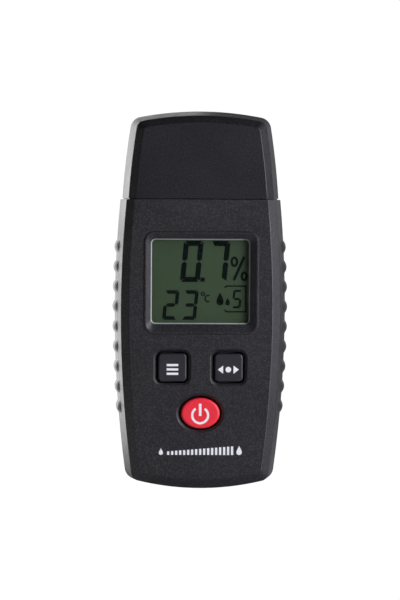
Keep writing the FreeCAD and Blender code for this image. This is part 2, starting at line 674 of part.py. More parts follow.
def battery_spring(i):
    """Coil spring between a contact plate and the flat end of cell i, ground flat at both ends."""
    low, high = cell_span(i)
    z0, z1 = (BAY_Z[0] + PLATE, low) if cell_up(i) else (high, BAY_Z[1] - PLATE)
    wire_r, coil_r, turns = 0.3, 3.0, 4
    length = z1 - z0 - 2 * wire_r - 0.04
    helix = Part.makeHelix(length / turns, length, coil_r)
    section = Part.Wire([Part.Circle(vec(coil_r, 0, 0), vec(0, 1, 0), wire_r).toShape()])
    coil = Part.Wire(helix.Edges).makePipeShell([section], True, True)
    coil.translate(vec(cell_x(i), CELL_Y, z0 + wire_r + 0.02))
    return coil


def contact_plate(cells, top, terminal):
    """Sprung steel plate on an end wall of the bay, behind one cell or bridging two."""
    xs = [cell_x(i) for i in cells]
    z0, z1 = (BAY_Z[1] - PLATE, BAY_Z[1]) if top else (BAY_Z[0], BAY_Z[0] + PLATE)
    plate = box(min(xs) - 4.2, max(xs) + 4.2, 2.0, 10.6, z0, z1)
    if not terminal:
        return plate
    x = xs[0]
    return fuse(plate, box(x - 1.2, x + 1.2, BOARD_Y[1], 2.2, z0, z1))


def battery_door():
    """Hinged door with a rounded lower edge, a grip pattern and a trunnion at each side."""
    y, z = DOOR_AXIS
    inner = BACK - DOOR_THICK
    panel = box(-DOOR_HALF_W, DOOR_HALF_W, inner, BACK, z, DOOR_TOP_Z)
    panel = rounded(panel, 1.2, lambda e: e.BoundBox.YLength > 1 and e.BoundBox.ZMin > DOOR_TOP_Z - 1)
    roll = rod(DOOR_THICK / 2, (-DOOR_HALF_W, y, z), (DOOR_HALF_W, y, z))
    reach = DOOR_HALF_W + TRUNNION_LENGTH
    trunnion = rod(TRUNNION_R, (-reach, y, z), (reach, y, z))
    grooves = [box(-6 + i * 0.5, 6 - i * 0.5, BACK - 0.5, BACK + 1, 60.5 + i * 1.8, 61.4 + i * 1.8)
               for i in range(5)]
    ribs = [box(x - 0.4, x + 0.4, inner - 0.5, inner + 0.1, 24, 66)
            for x in (-CELL_PITCH / 2, CELL_PITCH / 2)]
    return cut(fuse(panel, roll, trunnion, *ribs), *grooves)


def door_foam():
    """Foam pads that press on the cells."""
    inner = BACK - DOOR_THICK
    pads = []
    for i in range(3):
        x = cell_x(i)
        pads.append(box(x - 4.0, x + 4.0, CELL_Y + CELL_R + 0.02, inner, 34, 56))
    return Part.makeCompound(pads)


# ---- Probe and cap ------------------------------------------------------------------------------

def pin_block():
    """Insulating block in the mouth of the neck, with a bore for each socket."""
    body = neck(BLOCK_Z[0], BLOCK_Z[1], NECK_WALL + 0.05)
    bores = [rod(SOCKET_R, (x, 0, BLOCK_Z[0] - 1), (x, 0, BLOCK_Z[1] + 1)) for x in (-PIN_X, PIN_X)]
    return cut(body, *bores)


def pin_socket(x):
    """Threaded brass socket with a collar that bears on the block."""
    tube = rod(SOCKET_R, (x, 0, BLOCK_Z[0]), (x, 0, PIN_SHOULDER_Z))
    collar = rod(SOCKET_R + 0.8, (x, 0, BLOCK_Z[1]), (x, 0, PIN_SHOULDER_Z))
    return cut(fuse(tube, collar), rod(PIN_THREAD_R, (x, 0, BLOCK_Z[0] + 2.0), (x, 0, PIN_SHOULDER_Z + 1)))


def hexagon(x, across, z0, z1):
    radius = across / math.sqrt(3)
    angles = [math.radians(60 * k) for k in range(7)]
    corners = [vec(x + radius * math.cos(a), radius * math.sin(a), z0) for a in angles]
    return Part.Face(Part.makePolygon(corners)).extrude(vec(0, 0, z1 - z0))


def probe_pin(x):
    """Steel electrode: threaded end, hexagon, straight needle and sharp point."""
    thread = rod(PIN_THREAD_R - 0.02, (x, 0, BLOCK_Z[0] + 3.0), (x, 0, PIN_SHOULDER_Z))
    nut = hexagon(x, 4.0, PIN_SHOULDER_Z, PIN_WALL[0])
    needle = rod(PIN_R, (x, 0, PIN_WALL[0]), (x, 0, PIN_WALL[1]))
    point = cone(PIN_R, 0.06, (x, 0, PIN_WALL[1]), (x, 0, PIN_TIP_Z))
    return fuse(thread, nut, needle, point)


def sensor_strap(x):
    """Brass strap from a socket down to the back of the board."""
    half_w, t = 1.25, 0.2
    drop = box(x - half_w, x + half_w, -t, t, 106.0, BLOCK_Z[0])
    step = box(x - half_w, x + half_w, BOARD_Y[1], t, 106.0 - 2 * t, 106.0)
    foot = box(x - half_w, x + half_w, BOARD_Y[1], BOARD_Y[1] + 2 * t, 98.5, 106.0)
    return fuse(drop, step, foot)


def protective_cap():
    halves = [softened_half(CAP, section) for section in (CAP_FRONT, CAP_BACK)]
    hollows = [half_hull(CAP, section, CAP["cut_z"] - 1.0)
               for section in (CAP_HOLLOW_FRONT, CAP_HOLLOW_BACK)]
    return cut(fuse(*halves), *hollows)


# ---- Assembly -----------------------------------------------------------------------------------

def make_parts():
    parts = {
        "front_shell": front_shell(),
        "rear_shell": rear_shell(),
        "right_grip": right_grip(),
        "lens_gasket": lens_gasket(),
        "display_lens": display_lens(),
        "lcd_polariser": lcd_layer((40.6, 32.4), 0.3, LCD_Y[0], LCD_Y[1]),
        "lcd_glass": lcd_glass(),
        "lcd_reflector": lcd_layer((40.6, 31.4), 0.3, LCD_Y[2], LCD_Y[3]),
        "display_frame": display_frame(),
        "elastomer_strips": elastomer_strips(),
        "keypad_mat": keypad_mat(),
        "main_board": main_board(),
        "controller_chip": controller_chip(),
        "crystal": crystal(),
        "board_parts": board_parts(),
        "temperature_sensor": temperature_sensor(),
        "board_screws": board_screws(),
        "case_screws": case_screws(),
        "battery_door": battery_door(),
        "door_foam": door_foam(),
        "positive_terminal": contact_plate([0], True, True),
        "negative_terminal": contact_plate([2], False, True),
        "upper_bridge": contact_plate([1, 2], True, False),
        "lower_bridge": contact_plate([0, 1], False, False),
        "pin_block": pin_block(),
        "protective_cap": protective_cap(),
    }
    parts["left_grip"] = mirrored_x(parts["right_grip"])
    for name, key in KEYS.items():
        parts[name + "_key"] = key_cap(key, 0.9 if name == "power" else 0.6)
        parts[name + "_key_web"] = key_web(key)
        parts[name + "_key_contact"] = contact_pill(key)
    for i in range(3):
        parts[f"battery_cell_{i + 1}"] = battery_cell(i)
        parts[f"battery_spring_{i + 1}"] = battery_spring(i)
    for side, x in (("left", -PIN_X), ("right", PIN_X)):
        parts[side + "_pin_socket"] = pin_socket(x)
        parts[side + "_probe_pin"] = probe_pin(x)
        parts[side + "_sensor_strap"] = sensor_strap(x)
    return parts


def export(parts):
    os.makedirs("parts", exist_ok=True)
    for name, shape in sorted(parts.items()):
        shape.exportStep(f"parts/{name}.step")
        print(f"{name:22s} solids {len(shape.Solids)}, volume {shape.Volume:.2f}, valid {shape.isValid()}")


export(make_parts())
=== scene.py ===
import json
import math
import bmesh
import bpy
from mathutils import Matrix, Vector

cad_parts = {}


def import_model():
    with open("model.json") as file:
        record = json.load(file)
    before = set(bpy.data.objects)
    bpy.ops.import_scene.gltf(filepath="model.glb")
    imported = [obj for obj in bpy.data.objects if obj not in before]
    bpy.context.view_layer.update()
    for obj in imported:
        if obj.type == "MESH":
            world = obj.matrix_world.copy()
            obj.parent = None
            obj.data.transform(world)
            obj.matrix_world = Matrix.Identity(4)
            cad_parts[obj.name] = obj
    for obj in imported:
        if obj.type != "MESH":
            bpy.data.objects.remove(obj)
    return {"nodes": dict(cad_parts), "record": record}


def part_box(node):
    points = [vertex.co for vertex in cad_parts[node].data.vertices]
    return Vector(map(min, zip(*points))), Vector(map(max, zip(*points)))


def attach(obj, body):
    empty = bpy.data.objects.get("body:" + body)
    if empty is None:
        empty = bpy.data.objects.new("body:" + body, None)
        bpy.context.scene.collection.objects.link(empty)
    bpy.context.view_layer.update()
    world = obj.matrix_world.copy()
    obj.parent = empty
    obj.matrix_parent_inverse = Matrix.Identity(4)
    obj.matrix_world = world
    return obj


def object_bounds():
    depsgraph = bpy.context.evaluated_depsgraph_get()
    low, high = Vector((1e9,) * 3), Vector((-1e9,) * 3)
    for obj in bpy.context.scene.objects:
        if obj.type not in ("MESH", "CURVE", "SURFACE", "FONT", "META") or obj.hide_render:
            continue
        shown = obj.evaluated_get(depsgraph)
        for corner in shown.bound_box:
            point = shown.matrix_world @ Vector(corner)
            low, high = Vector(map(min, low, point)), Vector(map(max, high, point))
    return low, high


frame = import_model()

cad_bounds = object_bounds()

MM = 0.001
INK = 0.006 * MM               # thickness of printed legends
SEGMENT = 0.03 * MM            # thickness of the display's dark segments
STUDIO_WHITE = 1.02            # how bright the floor and the backdrop are where they are looked at


# ---- Places read from the frame -----------------------------------------------------------------

def middle(node):
    """Middle of a node's box."""
    low, high = (Vector(corner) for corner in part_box(node))
    return (low + high) / 2


def front(node):
    """y of the surface of a node that faces the viewer."""
    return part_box(node)[0][1]


GASKET = middle("lens_gasket")
HEIGHT = cad_bounds[1][2] - cad_bounds[0][2]


# ---- Materials ----------------------------------------------------------------------------------

def new_material(name):
    """An empty material, with its nodes, its links and its output node."""
    material = bpy.data.materials.new(name)
    material.use_nodes = True
    nodes = material.node_tree.nodes
    nodes.clear()
    output = nodes.new("ShaderNodeOutputMaterial")
    return material, nodes, material.node_tree.links, output


def noise(nodes, links, scale, detail=3.0, rough=0.55, stretch=(1, 1, 1)):
    """Noise in the frame's own metres. Stretch lengthens its grain along an axis."""
    place = nodes.new("ShaderNodeTexCoord")
    mapping = nodes.new("ShaderNodeMapping")
    mapping.inputs["Scale"].default_value = [1 / s for s in stretch]
    links.new(place.outputs["Object"], mapping.inputs["Vector"])
    texture = nodes.new("ShaderNodeTexNoise")
    texture.inputs["Scale"].default_value = scale
    texture.inputs["Detail"].default_value = detail
    texture.inputs["Roughness"].default_value = rough
    links.new(mapping.outputs["Vector"], texture.inputs["Vector"])
    return texture.outputs["Fac"]


def ramp(nodes, links, factor, stops):
    """Colour ramp from (position, colour) pairs."""
    node = nodes.new("ShaderNodeValToRGB")
    elements = node.color_ramp.elements
    for _ in range(len(stops) - 2):
        elements.new(0.5)
    for element, (position, colour) in zip(elements, stops):
        element.position = position
        element.color = (*colour, 1)
    links.new(factor, node.inputs["Fac"])
    return node.outputs["Color"]


def spread(nodes, links, factor, low, high, start=0.3, end=0.7):
    """A factor stretched from start..end to low..high."""
    node = nodes.new("ShaderNodeMapRange")
    node.inputs["From Min"].default_value = start
    node.inputs["From Max"].default_value = end
    node.inputs["To Min"].default_value = low
    node.inputs["To Max"].default_value = high
    links.new(factor, node.inputs["Value"])
    return node.outputs["Result"]


def blend_colour(nodes, links, factor, a, b):
    """Colour a where the factor is 0 and b where it is 1; each is a tuple or another node's output."""
    node = nodes.new("ShaderNodeMix")
    node.data_type = "RGBA"
    links.new(factor, node.inputs["Factor"])
    colour_a, colour_b = node.inputs[6], node.inputs[7]
    for socket, value in ((colour_a, a), (colour_b, b)):
        if isinstance(value, tuple):
            socket.default_value = (*value, 1)
        else:
            links.new(value, socket)
    mixed = node.outputs[2]
    return mixed


def edge_wear(nodes, links, radius, amount):
    """The given amount on rubbed edges and 0 on flat faces, broken up by noise."""
    rounded = nodes.new("ShaderNodeBevel")
    rounded.samples = 4
    rounded.inputs["Radius"].default_value = radius
    flat = nodes.new("ShaderNodeNewGeometry")
    dot = nodes.new("ShaderNodeVectorMath")
    dot.operation = "DOT_PRODUCT"
    links.new(rounded.outputs["Normal"], dot.inputs[0])
    links.new(flat.outputs["Normal"], dot.inputs[1])
    edge = spread(nodes, links, dot.outputs["Value"], amount, 0.0, 0.90, 0.995)
    patch = spread(nodes, links, noise(nodes, links, 220), 0.2, 1.0, 0.4, 0.62)
    worn = nodes.new("ShaderNodeMath")
    worn.operation = "MULTIPLY"
    links.new(edge, worn.inputs[0])
    links.new(patch, worn.inputs[1])
    return worn.outputs[0]


def bump(nodes, links, height, strength, distance):
    """Surface normal of a fine relief that follows the height."""
    node = nodes.new("ShaderNodeBump")
    node.inputs["Strength"].default_value = strength
    node.inputs["Distance"].default_value = distance
    links.new(height, node.inputs["Height"])
    return node.outputs["Normal"]


def moulded(name, dark, light, worn, roughness, grain=2600, relief=0.02 * MM, specular=0.5,
            wear=0.35, speck=0.35):
    """Moulded plastic or rubber with a fine eroded texture, uneven gloss and rubbed edges.

    dark and light are the body's uneven colour, and worn is that of the rubbed edges and the flecks.
    wear and speck say how strongly the edges and the flecks show.
    """
    material, nodes, links, output = new_material(name)
    shader = nodes.new("ShaderNodeBsdfPrincipled")
    shader.inputs["Specular IOR Level"].default_value = specular
    fine = noise(nodes, links, grain, 2.0, 0.6)
    broad = noise(nodes, links, 45, 4.0)
    body = ramp(nodes, links, broad, [(0.3, dark), (0.7, light)])
    flecks = spread(nodes, links, fine, 0.0, speck, 0.45, 0.75)
    flecked = blend_colour(nodes, links, flecks, body, worn)
    rubbed = edge_wear(nodes, links, 0.35 * MM, wear)
    links.new(blend_colour(nodes, links, rubbed, flecked, worn), shader.inputs["Base Color"])
    uneven = spread(nodes, links, broad, roughness - 0.04, roughness + 0.04)
    links.new(uneven, shader.inputs["Roughness"])
    links.new(bump(nodes, links, fine, 0.5, relief), shader.inputs["Normal"])
    links.new(shader.outputs[0], output.inputs["Surface"])
    return material


def metal(name, colour, tarnish, roughness, brushing=(1, 1, 1), grain=1500):
    """Bare or plated metal with fine tool marks and a little tarnish."""
    material, nodes, links, output = new_material(name)
    shader = nodes.new("ShaderNodeBsdfPrincipled")
    shader.inputs["Metallic"].default_value = 1.0
    marks = noise(nodes, links, grain, 3.0, 0.6, brushing)
    stain = noise(nodes, links, 180, 4.0)
    tone = ramp(nodes, links, stain, [(0.35, tarnish), (0.6, colour)])
    links.new(tone, shader.inputs["Base Color"])
    uneven = spread(nodes, links, marks, roughness - 0.08, roughness + 0.1)
    links.new(uneven, shader.inputs["Roughness"])
    links.new(bump(nodes, links, marks, 0.3, 0.01 * MM), shader.inputs["Normal"])
    links.new(shader.outputs[0], output.inputs["Surface"])
    return material


def clear_sheet(name, roughness, tint):
    """Thin clear plastic: see-through, with a reflection that grows towards grazing angles."""
    facing, edge_on = 0.02, 0.6        # share of light reflected, seen square on and edge on
    material, nodes, links, output = new_material(name)
    grazing = nodes.new("ShaderNodeMath")
    grazing.operation = "POWER"
    grazing.inputs[1].default_value = 5.0
    links.new(nodes.new("ShaderNodeLayerWeight").outputs["Facing"], grazing.inputs[0])
    share = spread(nodes, links, grazing.outputs[0], facing, edge_on, 0.0, 1.0)
    through = nodes.new("ShaderNodeBsdfTransparent")
    through.inputs["Color"].default_value = (*tint, 1)
    gloss = nodes.new("ShaderNodeBsdfGlossy")
    scuffs = noise(nodes, links, 900, 4.0, 0.7, (6, 1, 1))
    scuffed = spread(nodes, links, scuffs, roughness, roughness + 0.06, 0.45, 0.75)
    links.new(scuffed, gloss.inputs["Roughness"])
    mix = nodes.new("ShaderNodeMixShader")
    links.new(share, mix.inputs["Fac"])
    links.new(through.outputs[0], mix.inputs[1])
    links.new(gloss.outputs[0], mix.inputs[2])
    links.new(mix.outputs[0], output.inputs["Surface"])
    return material


def display_film(name):
    """Grey-green background of the display, with faint cloudy patches."""
    deep, pale = (0.058, 0.084, 0.046), (0.062, 0.090, 0.054)
    material, nodes, links, output = new_material(name)
    shader = nodes.new("ShaderNodeBsdfPrincipled")
    shader.inputs["Roughness"].default_value = 0.45
    shader.inputs["Specular IOR Level"].default_value = 0.3
    cloud = noise(nodes, links, 70, 3.0)
    green = ramp(nodes, links, cloud, [(0.35, deep), (0.65, pale)])
    links.new(green, shader.inputs["Base Color"])
    grain = noise(nodes, links, 5000, 2.0)
    links.new(bump(nodes, links, grain, 0.2, 0.005 * MM), shader.inputs["Normal"])
    links.new(shader.outputs[0], output.inputs["Surface"])
    return material


def ink(name, colour, roughness=0.5, specular=0.3):
    """Printed ink, slightly uneven where it was laid down."""
    material, nodes, links, output = new_material(name)
    shader = nodes.new("ShaderNodeBsdfPrincipled")
    shader.inputs["Specular IOR Level"].default_value = specular
    thin = tuple(c * 0.9 for c in colour)
    cover = noise(nodes, links, 1800, 4.0)
    links.new(ramp(nodes, links, cover, [(0.3, thin), (0.55, colour)]), shader.inputs["Base Color"])
    links.new(spread(nodes, links, cover, roughness, roughness + 0.15), shader.inputs["Roughness"])
    links.new(bump(nodes, links, cover, 0.2, 0.01 * MM), shader.inputs["Normal"])
    links.new(shader.outputs[0], output.inputs["Surface"])
    return material


def cell_wrap(name, node, positive_up):
    """Shrink film on a battery cell: a coppery band at the positive end and bare steel caps."""
    material, nodes, links, output = new_material(name)
    low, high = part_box(node)
    start, end = (low[2], high[2]) if positive_up else (high[2], low[2])
    shader = nodes.new("ShaderNodeBsdfPrincipled")
    place = nodes.new("ShaderNodeTexCoord")
    split = nodes.new("ShaderNodeSeparateXYZ")
    links.new(place.outputs["Object"], split.inputs[0])
    along = spread(nodes, links, split.outputs["Z"], 0.0, 1.0, start, end)
    steel, black, copper = (0.62, 0.62, 0.63), (0.02, 0.02, 0.024), (0.55, 0.23, 0.08)
    film_start, band_start, film_end = 0.02, 0.70, 0.955
    bands = [(0.0, steel), (film_start, black), (band_start, copper), (film_end, steel)]
    colour = ramp(nodes, links, along, bands)
    colour.node.color_ramp.interpolation = "CONSTANT"
    links.new(colour, shader.inputs["Base Color"])
    bare, covered = (1, 1, 1), (0, 0, 0)
    metallic = ramp(nodes, links, along, [(0.0, bare), (film_start, covered), (film_end, bare)])
    metallic.node.color_ramp.interpolation = "CONSTANT"
    links.new(metallic, shader.inputs["Metallic"])
    scuffs = noise(nodes, links, 700, 4.0, 0.6, (1, 1, 5))
    links.new(spread(nodes, links, scuffs, 0.22, 0.36), shader.inputs["Roughness"])
    links.new(bump(nodes, links, scuffs, 0.2, 0.01 * MM), shader.inputs["Normal"])
    links.new(shader.outputs[0], output.inputs["Surface"])
    return material


def striped(name):
    """Alternating conductive and clear layers of the display connectors."""
    carbon, silicone = (0.02, 0.02, 0.02), (0.62, 0.55, 0.45)
    material, nodes, links, output = new_material(name)
    shader = nodes.new("ShaderNodeBsdfPrincipled")
    place = nodes.new("ShaderNodeTexCoord")
    wave = nodes.new("ShaderNodeTexWave")
    wave.bands_direction = "X"
    wave.inputs["Scale"].default_value = 900
    wave.inputs["Distortion"].default_value = 0.4
    links.new(place.outputs["Object"], wave.inputs["Vector"])
    stripes = ramp(nodes, links, wave.outputs["Fac"], [(0.45, carbon), (0.55, silicone)])
    links.new(stripes, shader.inputs["Base Color"])
    links.new(spread(nodes, links, wave.outputs["Fac"], 0.4, 0.6), shader.inputs["Roughness"])
    links.new(shader.outputs[0], output.inputs["Surface"])
    return material


def make_materials():
    """One material for each slot of the frame, except the battery cells' own wraps."""
    charcoal = dict(dark=(0.0076, 0.0071, 0.0090), light=(0.0102, 0.0097, 0.0118),
                    worn=(0.070, 0.068, 0.075), roughness=0.44, grain=2000, relief=0.06 * MM,
                    speck=0.6)
    smooth_key = dict(roughness=0.42, grain=4200, relief=0.008 * MM)
    return {
        "case_plastic": moulded("case_plastic", **charcoal),
        "door_plastic": moulded("door_plastic", **charcoal),
        "cap_plastic": moulded("cap_plastic", (0.0050, 0.0048, 0.0066), (0.0070, 0.0067, 0.0088),
                               (0.054, 0.053, 0.060), 0.42, grain=2000, relief=0.06 * MM,
                               specular=0.4, speck=0.55),
        "grip_rubber": moulded("grip_rubber", (0.016, 0.016, 0.019), (0.020, 0.020, 0.023),
                               (0.045, 0.045, 0.05), 0.42, grain=3200),
        "lens": clear_sheet("lens", 0.03, (0.93, 0.96, 0.93)),
        # Pale grey lip round the display window: partly the foam's own colour and partly a painted
        # highlight standing in for the bright edge line round the window.
        "gasket_foam": moulded("gasket_foam", (0.36, 0.37, 0.36), (0.44, 0.45, 0.44),
                               (0.6, 0.6, 0.6), 0.35, grain=4000, wear=0.0),
        "polariser": display_film("polariser"),
        "lcd_glass": clear_sheet("lcd_glass", 0.02, (0.8, 0.88, 0.8)),
        "lcd_reflector": display_film("lcd_reflector"),
        "frame_plastic": moulded("frame_plastic", (0.70, 0.70, 0.67), (0.78, 0.78, 0.75),
                                 (0.85, 0.85, 0.85), 0.5),
        "elastomer": striped("elastomer"),
        "mat_silicone": moulded("mat_silicone", (0.10, 0.10, 0.105), (0.13, 0.13, 0.135),
                                (0.2, 0.2, 0.2), 0.55),
        "key_black": moulded("key_black", (0.0150, 0.0150, 0.0195), (0.0180, 0.0180, 0.0230),
                             (0.05, 0.05, 0.06), **smooth_key),
        "key_red": moulded("key_red", (0.93, 0.022, 0.044), (0.96, 0.026, 0.050),
                           (0.98, 0.08, 0.10), wear=0.25, **smooth_key),
        "carbon": moulded("carbon", (0.012, 0.012, 0.012), (0.02, 0.02, 0.02),
                          (0.03, 0.03, 0.03), 0.7),
        "board": moulded("board", (0.012, 0.10, 0.035), (0.016, 0.13, 0.045), (0.1, 0.25, 0.1), 0.3,
                         grain=900),
        "chip": moulded("chip", (0.02, 0.02, 0.02), (0.028, 0.028, 0.028), (0.07, 0.07, 0.07), 0.55),
        "tinned": metal("tinned", (0.66, 0.66, 0.68), (0.5, 0.5, 0.5), 0.3),
        "smd": moulded("smd", (0.30, 0.22, 0.14), (0.36, 0.27, 0.18), (0.6, 0.58, 0.55), 0.45),
        "bead": moulded("bead", (0.55, 0.35, 0.15), (0.62, 0.42, 0.2), (0.7, 0.6, 0.4), 0.15),
        "screw_steel": metal("screw_steel", (0.58, 0.58, 0.60), (0.40, 0.40, 0.41), 0.33),
        "spring_steel": metal("spring_steel", (0.70, 0.70, 0.72), (0.55, 0.54, 0.52), 0.25),
        "plate_steel": metal("plate_steel", (0.72, 0.72, 0.73), (0.58, 0.57, 0.55), 0.28, (1, 8, 1)),
        "foam": moulded("foam", (0.03, 0.03, 0.03), (0.05, 0.05, 0.05), (0.08, 0.08, 0.08), 0.9,
                        grain=1500, relief=0.1 * MM),
        "block_plastic": moulded("block_plastic", (0.018, 0.018, 0.02), (0.024, 0.024, 0.026),
                                 (0.06, 0.06, 0.06), 0.5),
        "brass": metal("brass", (0.74, 0.52, 0.22), (0.52, 0.34, 0.13), 0.25, (1, 1, 0.2)),
        "pin_steel": metal("pin_steel", (0.66, 0.66, 0.68), (0.5, 0.5, 0.5), 0.18, (1, 1, 0.15)),
    }


def dress_nodes(materials):
    """Gives every CAD node the detailed material of its slot. The middle cell lies upside down."""
    for part in frame["record"]["subparts"]:
        node, slot = part["node"], part["material_slot"]
        if slot == "cell_wrap":
            material = cell_wrap("wrap_" + node, node, positive_up=node != "battery_cell_2")
        else:
            material = materials[slot]
        mesh = frame["nodes"][node].data
        mesh.materials.clear()
        mesh.materials.append(material)


# ---- Flat shapes --------------------------------------------------------------------------------
# A flat shape is a list of faces, each a list of (x, z) points in millimetres.

def stroke(points, width, closed=False):
    """A line of constant width through the points, with mitred corners."""
    sharpest = 0.3                     # keeps the mitre of a very sharp corner short
    count = len(points)
    sides = []
    for i, point in enumerate(points):
        here = Vector(point)
        ways = []
        if i or closed:
            ways.append((here - Vector(points[i - 1])).normalized())
        if i < count - 1 or closed:
            ways.append((Vector(points[(i + 1) % count]) - here).normalized())
        along = sum(ways, Vector((0, 0))).normalized()
        across = Vector((-along.y, along.x))
        reach = width / 2 / max(sharpest, abs(across.dot(Vector((-ways[0].y, ways[0].x)))))
        sides.append((here + across * reach, here - across * reach))
    faces = []
    for i in range(count if closed else count - 1):
        (left, right), (next_left, next_right) = sides[i], sides[(i + 1) % count]
        faces.append([left, next_left, next_right, right])
    return faces


def ellipse_points(x, z, w, h, start=0.0, end=360.0, steps=48):
    """Points along an ellipse of width w and height h, from one angle to another in degrees."""
    angles = [math.radians(start + (end - start) * i / steps) for i in range(steps + 1)]
    return [(x + w / 2 * math.cos(a), z + h / 2 * math.sin(a)) for a in angles]


def ring(x, z, w, h, width):
    """A closed elliptical line, w by h over its outside."""
    return stroke(ellipse_points(x, z, w - width, h - width)[:-1], width, closed=True)


def droplet(x, z, w, h):
    """A pointed drop: round below, drawn in to a tip above."""
    steps, taper, fullness = 48, 1.6, 1.18
    points = []
    for i in range(steps):
        turn = 2 * math.pi * i / steps
        side = w / 2 * math.sin(turn) * math.sin(turn / 2) ** taper * fullness
        points.append((x - side, z + h / 2 * math.cos(turn)))
    return [points]


def bar(x, z, w, h):
    """An upright rectangle about its middle."""
    left, right, low, high = x - w / 2, x + w / 2, z - h / 2, z + h / 2
    return [[(left, low), (right, low), (right, high), (left, high)]]


def seven_segment(lit, x, z, w, h, t, slant=0.1, gap=0.12):
    """A digit of seven tapered segments, a to g in the usual order, leaning to the right.

    w and h are the size of the digit, t the thickness of a segment and gap the space at its ends.
    """
    half_w, half_h = w / 2, h / 2
    join = 0.2 * t
    taper = 0.35 * t
    tip, shoulder = half_w - 0.7 * t, half_w - 1.2 * t

    def across(level, sign):
        """A horizontal segment whose long side lies at this height."""
        inner = level - sign * t
        return [(-half_w + gap + join, level), (half_w - gap - join, level),
                (half_w - t - gap + join, inner), (-half_w + t + gap - join, inner)]

    def upright(side, top, bottom):
        """A vertical segment from the end bar to the middle of the digit."""
        outer, inner = side * half_w, side * (half_w - t)
        away = 1 if top > bottom else -1
        return [(outer, top - away * (gap + join)), (inner, top - away * (t + gap - join)),
                (inner, bottom + away * (gap + taper)), ((outer + inner) / 2, bottom + away * gap),
                (outer, bottom + away * (gap + taper))]

    centre_bar = [(-tip, 0), (-shoulder, t / 2), (shoulder, t / 2),
                  (tip, 0), (shoulder, -t / 2), (-shoulder, -t / 2)]
    shapes = {
        "a": across(half_h, 1), "d": across(-half_h, -1), "g": centre_bar,
        "f": upright(-1, half_h, 0), "b": upright(1, half_h, 0),
        "e": upright(-1, -half_h, 0), "c": upright(1, -half_h, 0),
    }
    return [[(x + px + slant * pz, z + pz) for px, pz in shapes[name]] for name in lit]


def flat_piece(name, faces, origin, y, thickness, material, body):
    """A thin raised shape on a surface at depth y, facing the viewer, that rides on a body."""
    mesh = bpy.data.meshes.new(name)
    bm = bmesh.new()
    for face in faces:
        corners = [bm.verts.new((origin[0] + px * MM, y, origin[2] + pz * MM)) for px, pz in face]
        bm.faces.new(corners)
    bmesh.ops.remove_doubles(bm, verts=bm.verts, dist=1e-7)
    bmesh.ops.recalc_face_normals(bm, faces=bm.faces)
    grown = bmesh.ops.extrude_face_region(bm, geom=bm.faces[:])
    lifted = [v for v in grown["geom"] if isinstance(v, bmesh.types.BMVert)]
    bmesh.ops.translate(bm, verts=lifted, vec=(0, -thickness, 0))
    bmesh.ops.recalc_face_normals(bm, faces=bm.faces)
    bm.to_mesh(mesh)
    bm.free()
    piece = bpy.data.objects.new(name, mesh)
    bpy.context.collection.objects.link(piece)
    mesh.materials.append(material)
    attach(piece, body)


# ---- What the display shows ---------------------------------------------------------------------

def display_readout():
    """Dark segments of the display, one piece to a group, laid out from the middle of the window."""
    dark = ink("lcd_segment", (0.001, 0.004, 0.004), 0.5, 0.05)
    large, upper_row = (7.3, 15.2, 1.9), 7.35
    medium, lower_row = (5.4, 10.9, 1.3), -8.8
    small = (3.3, 6.8, 0.8)
    decimal_point = bar(0.88, 0.62, 1.6, 1.5)
    degree = ring(0.98, -4.66, 1.6, 1.6, 0.42)
    capital_c = stroke(ellipse_points(2.8, -6.35, 1.95, 2.4, 50, 310, 28), 0.52)
    bracket = [(9.0, -2.35), (9.75, -1.7), (16.9, -1.7), (16.9, -11.2), (9.75, -11.2), (9.0, -10.5)]
    groups = {
        "readout_moisture": seven_segment("abcdef", -3.16, upper_row, *large)
        + seven_segment("abc", 6.73, upper_row, *large) + decimal_point,
        "readout_percent": ring(12.55, 7.3, 2.8, 3.9, 0.85) + ring(16.2, 1.95, 2.6, 3.6, 0.85)
        + stroke([(12.4, 0.4), (16.2, 9.2)], 0.95),
        "readout_temperature": seven_segment("abdeg", -10.85, lower_row, *medium)
        + seven_segment("abcdg", -3.75, lower_row, *medium),
        "readout_celsius": degree + capital_c,
        "readout_group": seven_segment("acdfg", 13.6, -6.5, *small) + stroke(bracket, 0.5),
        "readout_drops": droplet(7.35, -6.4, 3.3, 4.9) + droplet(10.15, -7.4, 2.0, 2.9),
    }
    y = front("lcd_polariser") - 0.01 * MM
    for name, faces in groups.items():
        flat_piece(name, faces, GASKET, y, SEGMENT, dark, "case")


# ---- Printed legends ----------------------------------------------------------------------------

def key_icons():
    """Legends of the keys: three bars, two arrows with a dot, and the power symbol."""
    white = ink("legend_white", (0.97, 0.97, 0.97))
    line = 0.85                        # thickness of the drawn lines
    level = -0.7                       # height of the legends above the middle of their keys
    mode = [face for i in (-1, 0, 1) for face in bar(0, level + 1.6 * i, 4.3, line)]
    arrow = [(1.9, -1.5), (3.9, 0.0), (1.9, 1.5)]
    aside = -0.2
    settings = [[(side * x + aside, z + level) for x, z in arrow] for side in (-1, 1)]
    settings.append(ellipse_points(aside, level, 2.1, 2.1)[:-1])
    open_circle = stroke(ellipse_points(-0.1, level, 5.85, 5.85, 125, 415, 60), line)
    power = open_circle + bar(-0.1, level + 2.0, 0.95, 4.5)
    for key, faces in (("mode", mode), ("set", settings), ("power", power)):
        node = key + "_key"
        flat_piece(key + "_icon", faces, middle(node), front(node), INK, white, key)


def moisture_scale():
    """Printed scale under the power key: a small drop, rising bars and a large drop."""
    white = ink("scale_white", (0.95, 0.96, 0.98))
    count, span, base, width = 17, 23.6, -1.6, 0.85
    lowest, growth = 1.3, 1.9
    faces = []
    for i in range(count):
        share = i / (count - 1)
        height = lowest + growth * share
        faces += bar(-span / 2 + span * share, base + height / 2, width, height)
    faces += droplet(-14.5, -0.35, 1.9, 2.5) + droplet(14.4, 0.1, 2.5, 3.4)
    origin = Vector((0, 0, 14.7 * MM))
    flat_piece("moisture_scale", faces, origin, face_plane(), INK, white, "case")


